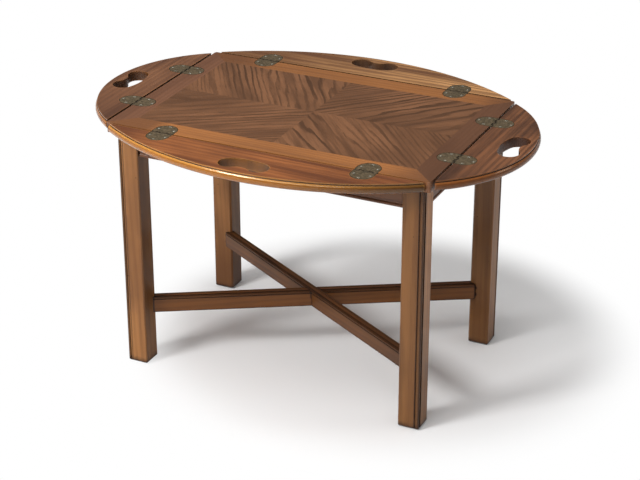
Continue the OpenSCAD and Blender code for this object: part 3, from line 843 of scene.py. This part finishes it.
@dataclass
class Stand:
    """Legs, aprons, corner blocks and crossed rails.

    Attributes:
        edge: Rounding of the aprons' and rails' arrises, in metres.
        leg_edge: Rounding of the legs' arrises, in metres.
        leg_steps: How many facets that rounding has.
        legs: How each leg was cut.
        rails: How each crossed rail was cut.
        apron_pith: Where the heart of the aprons' log lay, across and above them, in metres.
        apron_step: How far apart along its log the aprons were cut, in metres.
        block_step: How far apart along its log the corner blocks were cut, in metres.
    """

    edge: float = 0.5 * MM
    leg_edge: float = 1.1 * MM
    leg_steps: int = 3
    # Each leg's lightness is partly painted light and shade, as on the back right leg under the top; its
    # faces across X take painted light and shade.
    legs: dict[str, Cut] = field(default_factory=lambda: {
        "front_left": Cut(Grain.UPRIGHT, pith=(0.3, -0.22), tilt=1.0, tone=1.07, painted_flank_light=(0.6, 0.6)),
        "front_right": Cut(Grain.UPRIGHT, pith=(0.3, -0.17), tilt=1.3, log=1.7, tone=0.69,
                           painted_flank_light=(1.08, 2.3)),
        "back_left": Cut(Grain.UPRIGHT, pith=(0.3, -0.12), tilt=1.6, log=3.4, dusk=((0.02, 0.19),),
                         tone=0.97, painted_flank_light=(0.62, 0.62)),
        "back_right": Cut(Grain.UPRIGHT, pith=(0.3, -0.07), tilt=1.9, log=5.1, tone=0.65,
                          painted_flank_light=(1.5, 1.35)),
    })
    rails: dict[str, Cut] = field(default_factory=lambda: {
        "stretcher_lower": Cut(Grain.ALONG_X, 30.5, pith=(0.1, 0.0), log=30.5),
        "stretcher_upper": Cut(Grain.ALONG_X, -30.5, pith=(0.1, 0.0), log=-30.5, dusk=((0.36, 0.0),)),
    })
    apron_pith: Span = (0.12, 0.38)
    apron_step: float = 0.9
    block_step: float = 0.4

    def build(self) -> None:
        """Ease the arrises of aprons, rails and legs."""
        ease([f"apron_{side.value}" for side in Side], self.edge)
        ease(list(self.rails), self.edge)
        ease([f"leg_{corner}" for corner in CORNERS], self.leg_edge, self.leg_steps)

    def dress(self) -> None:
        """Give each piece its finish, with the grain along its length."""
        for place, (corner, cut) in enumerate(self.legs.items()):
            dress([f"leg_{corner}"], LEG.make(f"leg wood {place + 1}", cut))
            block = Cut(Grain.UPRIGHT, log=self.block_step * place)
            dress([f"corner_block_{corner}"], INNER.make(f"block wood {place + 1}", block))
        for place, side in enumerate(Side):
            apron = Cut(side.run, pith=self.apron_pith, log=self.apron_step * place)
            dress([f"apron_{side.value}"], APRON.make(f"apron wood {side.value}", apron))
        for rail, cut in self.rails.items():
            dress([rail], STRETCHER.make(f"{rail} wood", cut))
        steel = STEEL.make("zinc steel")
        dress(["hanger_bolts", "hanger_washers", "hanger_nuts", "block_screws"], steel)
        dress(["stretcher_dowels"], INNER.make("dowel wood", Cut(Grain.ALONG_X)))


@dataclass
class Tray:
    """The veneered panel with its cross bands, plates and cleats.

    Attributes:
        edge: Rounding of the cleats' arrises, in metres.
        head: Rounding of a screw's head, in metres.
        core: How the panel's core was cut.
        bands: How each crossband was cut.
        quarters: How each quarter of the field was cut.
    """

    edge: float = 0.4 * MM
    head: float = 0.7 * MM
    core: Cut = Cut(Grain.ALONG_X, pith=(0.1, 0.5))
    bands: dict[Side, Cut] = field(default_factory=lambda: {
        Side.FRONT: Cut(Grain.ALONG_X, pith=(0.05, 0.3), dusk=((-0.235, -0.195), (0.31, 0.2)), tone=0.97),
        Side.BACK: Cut(Grain.ALONG_X, pith=(0.05, 0.3), log=1.3, dusk=((-0.25, -0.16), (0.31, 0.24)),
                       tone=0.82),
        Side.LEFT: Cut(Grain.ALONG_Y, pith=(0.05, 0.3), log=2.6, tone=1.06),
        Side.RIGHT: Cut(Grain.ALONG_Y, pith=(0.05, 0.3), log=3.9, tone=0.6),
    })
    quarters: dict[str, Cut] = field(default_factory=lambda: {
        "back_left": Cut(Grain.ALONG_X, -54.0, pith=(0.14, 0.1), tilt=1.8),
        "back_right": Cut(Grain.ALONG_X, 44.0, pith=(-0.16, 0.1), tilt=1.8, log=0.8),
        "front_left": Cut(Grain.ALONG_X, 38.0, pith=(0.15, 0.1), tilt=1.8, log=1.6),
        "front_right": Cut(Grain.ALONG_X, -49.0, pith=(-0.12, 0.1), tilt=1.8, log=2.4),
    })

    def build(self) -> None:
        """Ease the arrises of the cleats and of the screws' heads."""
        ease(["cleat_left", "cleat_right"], self.edge)
        ease(["panel_plate_screws"], self.head)

    def dress(self) -> None:
        """Give core, bands, field, hinges and cleats their finishes."""
        dress(["panel_core"], CORE.make("panel edge wood", self.core))
        for side, cut in self.bands.items():
            finish = LONG_BAND if side.long else END_BAND
            dress([f"crossband_{side.value}"], finish.make(f"band wood {side.value}", cut))
        for quarter, cut in self.quarters.items():
            dress([f"field_veneer_{quarter}"], FIELD.make(f"field wood {quarter}", cut))
        brass = HINGE_BRASS.make("hinge brass")
        dress([f"panel_plate_{row.value}_{end.value}" for row in LONG_SIDES for end in END_SIDES], brass)
        dress([f"panel_plate_{end.value}_{row.value}" for row in LONG_SIDES for end in END_SIDES], brass)
        dress(["hinge_pins", "cleat_screws"], STEEL.make("steel of pins and screws"))
        dress(["panel_plate_screws"], SCREW_BRASS_PAINTED_GLINT.make("screw brass painted glint"))
        dress(["cleat_left", "cleat_right"], INNER.make("cleat wood", Cut(Grain.ALONG_Y)))


@dataclass
class Leaf:
    """One hinged leaf with its hinge plates and screws.

    Attributes:
        side: The side of the panel that it hangs on.
        finish: Its wood.
        log: The place along the log that it was cut from, in metres.
        dusk: Its dark stretches: where each is darkest and where it ends, in metres along it.
        shade: Painted shade on its moulded edge: where it is darkest and where it ends, in metres along
            it.
        pith: Where the heart of the log lay, across and above it, in metres.
        tilt: How far the log leaned out of it, in degrees.
        edge: Rounding of its arrises, in metres.
        head: Rounding of a screw's head, in metres.
    """

    side: Side
    finish: WoodFinish
    log: float
    dusk: tuple[Span, ...]
    shade: Span | None = None
    pith: Span = (0.09, 0.36)
    tilt: float = 1.6
    edge: float = 0.5 * MM
    head: float = 0.7 * MM

    def build(self) -> None:
        """Ease the arrises of the board and of its screws' heads."""
        ease([f"leaf_{self.side.value}"], self.edge)
        ease([f"leaf_screws_{self.side.value}"], self.head)

    def dress(self) -> None:
        """Give the board, its plates and its screws their finishes."""
        name = self.side.value
        ends = END_SIDES if self.side.long else LONG_SIDES
        cut = Cut(self.side.run, pith=self.pith, tilt=self.tilt, log=self.log, dusk=self.dusk,
                  shade=self.shade)
        dress([f"leaf_{name}"], self.finish.make(f"leaf wood {name}", cut))
        brass = HINGE_BRASS.make(f"hinge brass {name}")
        dress([f"leaf_plate_{name}_{end.value}" for end in ends], brass)
        dress([f"leaf_screws_{name}"], SCREW_BRASS_PAINTED_GLINT.make(f"screw brass painted glint {name}"))


@dataclass(frozen=True)
class Lamp:
    """A soft rectangular lamp.

    Attributes:
        name: Its name.
        place: Where it hangs, in metres.
        size: Its width and height, in metres.
        power: Its power, in watts.
    """

    name: str
    place: Vector3
    size: Span
    power: float

    def hang(self, aim: Vector3) -> None:
        """Hang it, turned towards a point.

        Args:
            aim: The point that it faces, in metres.
        """
        data = bpy.data.lights.new(self.name, "AREA")
        data.shape = "RECTANGLE"
        data.size, data.size_y = self.size
        data.energy = self.power
        lamp = bpy.data.objects.new(self.name, data)
        lamp.location = self.place
        way = [there - here for here, there in zip(self.place, aim)]
        flat = math.hypot(way[0], way[1])
        lamp.rotation_euler = (math.pi / 2.0 + math.atan2(way[2], flat), 0.0,
                               math.atan2(way[1], way[0]) - math.pi / 2.0)
        bpy.context.scene.collection.objects.link(lamp)


@dataclass
class Studio:
    """Pale floor, soft lamps and the camera.

    Attributes:
        eye: Where the camera stands, in metres.
        look_down: How far the camera looks down, in radians.
        look_left: How far it is turned left from +Y, in radians.
        lens: Its focal length, in millimetres.
        frame_width: Width of its picture, in millimetres.
        sight: How far it sees, in metres.
        middle: The point that the lamps face, in metres.
        lamps: The lamps.
        room: Strength of the room's plain light.
        wall_top: How high the white wall reaches in reflections, as the upward part of the way there.
        ceiling: Strength of what is reflected above the wall.
        floor_reach: Radius of the floor, in metres.
        floor_sides: How many sides its circle has.
        floor_tone: How light its paint is, 0 to 1.
        shadow_middle: The middle of the shadow that the floor keeps, in metres.
        shadow_reach: How far from there it starts to fade and is gone, in metres.
        shadow_glow: How white it already is in the middle, 0 to 1.
    """

    eye: Vector3 = (1.3075, -2.7100, 1.6737)
    look_down: float = 0.4474
    look_left: float = 0.4457
    lens: float = 101.0
    frame_width: float = 36.0
    sight: float = 60.0
    middle: Vector3 = (0.0, 0.0, 0.3)
    lamps: tuple[Lamp, ...] = (
        Lamp("soft lamp", (-0.1, -0.5, 3.0), (2.2, 2.2), 42.0),
        Lamp("key lamp", (-1.5, -2.5, 2.4), (0.8, 0.8), 62.0),
        Lamp("strip lamp", (-0.6, -2.9, 2.3), (3.2, 0.3), 36.0),
        Lamp("side lamp", (2.6, 0.9, 1.4), (0.7, 0.7), 6.0),
    )
    room: float = 0.3
    wall_top: float = 0.24
    ceiling: float = 0.1
    floor_reach: float = 9.0
    floor_sides: int = 96
    floor_tone: float = 0.96
    shadow_middle: Vector3 = (0.1, 0.1, 0.0)
    shadow_reach: Span = (0.36, 0.51)
    shadow_glow: float = 0.03

    def camera(self) -> None:
        """Stand the camera where the photograph was taken from."""
        data = bpy.data.cameras.new("camera")
        data.sensor_width = self.frame_width
        data.lens = self.lens
        data.clip_end = self.sight
        camera = bpy.data.objects.new("camera", data)
        camera.location = self.eye
        camera.rotation_euler = (math.pi / 2.0 - self.look_down, 0.0, self.look_left)
        bpy.context.scene.collection.objects.link(camera)
        bpy.context.scene.camera = camera

    def world(self) -> None:
        """Light everything plainly, and show white to the camera and to reflections."""
        world = bpy.data.worlds.new("white room")
        world.use_nodes = True
        bpy.context.scene.world = world
        nodes = Nodes(world.node_tree)
        path = nodes.node("ShaderNodeLightPath").outputs
        bounced = nodes.sums("MAXIMUM", path["Is Glossy Ray"], path["Is Transmission Ray"])
        height = nodes.parts(nodes.node("ShaderNodeTexCoord").outputs["Generated"])[2]
        wall = nodes.span(height, 0.0, self.wall_top, 1.0, self.ceiling)
        room = nodes.mixed(bounced, self.room, wall)
        level = nodes.mixed(path["Is Camera Ray"], room, 1.0)
        light = nodes.node("ShaderNodeBackground", {"Strength": level})
        nodes.node("ShaderNodeOutputWorld", {"Surface": light.outputs[0]})

    def floor_paint(self) -> Material:
        """Mix the floor's paint, which keeps the table's soft shadow and fades to white.

        Returns:
            The material.
        """
        recipe = Recipe("pale floor")
        moved = recipe.mapping(recipe.place(), shift=tuple(-part for part in self.shadow_middle))
        length = recipe.node("ShaderNodeVectorMath", {0: moved}, operation="LENGTH").outputs["Value"]
        far = recipe.span(length, *self.shadow_reach, self.shadow_glow, 1.0)
        share = recipe.times(far, recipe.node("ShaderNodeLightPath").outputs["Is Camera Ray"])
        matt = recipe.node("ShaderNodeBsdfDiffuse", {"Color": (self.floor_tone,) * 3})
        glow = recipe.node("ShaderNodeEmission", {"Color": (1.0, 1.0, 1.0), "Strength": 1.0})
        mixed = recipe.node("ShaderNodeMixShader", {0: share, 1: matt.outputs[0], 2: glow.outputs[0]})
        recipe.node("ShaderNodeOutputMaterial", {"Surface": mixed.outputs[0]})
        return recipe.material

    def floor(self) -> None:
        """Lay the round pale floor."""
        mesh = bpy.data.meshes.new("floor")
        shape = bmesh.new()
        bmesh.ops.create_circle(shape, cap_ends=True, segments=self.floor_sides, radius=self.floor_reach)
        shape.to_mesh(mesh)
        shape.free()
        mesh.materials.append(self.floor_paint())
        floor = bpy.data.objects.new("floor", mesh)
        bpy.context.scene.collection.objects.link(floor)

    def build(self) -> None:
        """Set up floor, lamps, world and camera."""
        bpy.context.scene.view_settings.view_transform = "Standard"
        self.world()
        self.floor()
        for lamp in self.lamps:
            lamp.hang(self.middle)
        self.camera()


def main() -> None:
    """Dress the table and set the studio."""
    logging.basicConfig(level=logging.INFO, format="%(message)s")
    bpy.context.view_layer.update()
    parts = [
        Stand(),
        Tray(),
        Leaf(Side.FRONT, FRONT_LEAF, log=10.5, dusk=((-0.26, -0.17), (0.5, -0.12)), shade=(0.42, -0.1)),
        Leaf(Side.BACK, BACK_LEAF, log=8.4, dusk=((-0.22, 0.12),)),
        Leaf(Side.LEFT, LEFT_LEAF, log=8.4, dusk=((-0.3, 0.1),)),
        Leaf(Side.RIGHT, RIGHT_LEAF, log=10.5, dusk=((-0.3, 0.0),)),
    ]
    for part in parts:
        part.build()
        part.dress()
        LOG.info("built %s", type(part).__name__)
    Studio().build()


if __name__ == "__main__":
    main()
